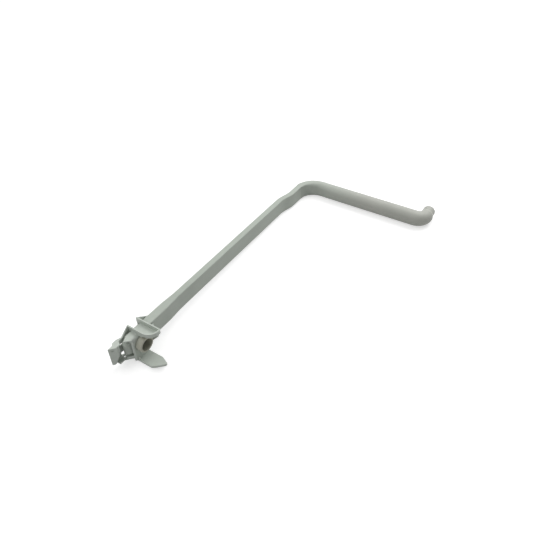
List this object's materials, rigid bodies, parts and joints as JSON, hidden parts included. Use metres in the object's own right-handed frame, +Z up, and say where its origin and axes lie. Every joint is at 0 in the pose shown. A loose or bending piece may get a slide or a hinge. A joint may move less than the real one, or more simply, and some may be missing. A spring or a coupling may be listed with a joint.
{
  "type": "dishwasher water supply tube",
  "caption": "L-shaped moulded tube that carries water from a pump outlet, through a flat leg, to a side spout held in a clip-on docking bracket with a guide tongue and a latch hook.",
  "frame": {"origin": "middle of the bounding box in plan, at the floor the part lies on", "axes": "+Z up from the floor, +Y along the flat long leg towards the bend, +X along the round short leg towards the stub and the way the spout points"},
  "size_m": [0.2032, 0.4196, 0.0403],
  "materials": {
    "tube_plastic": "satin",
    "bracket_plastic": "satin"
  },
  "bodies": {
    "root": {"supply_tube": "tube_plastic", "docking_bracket": "bracket_plastic"}
  },
  "joints": []
}
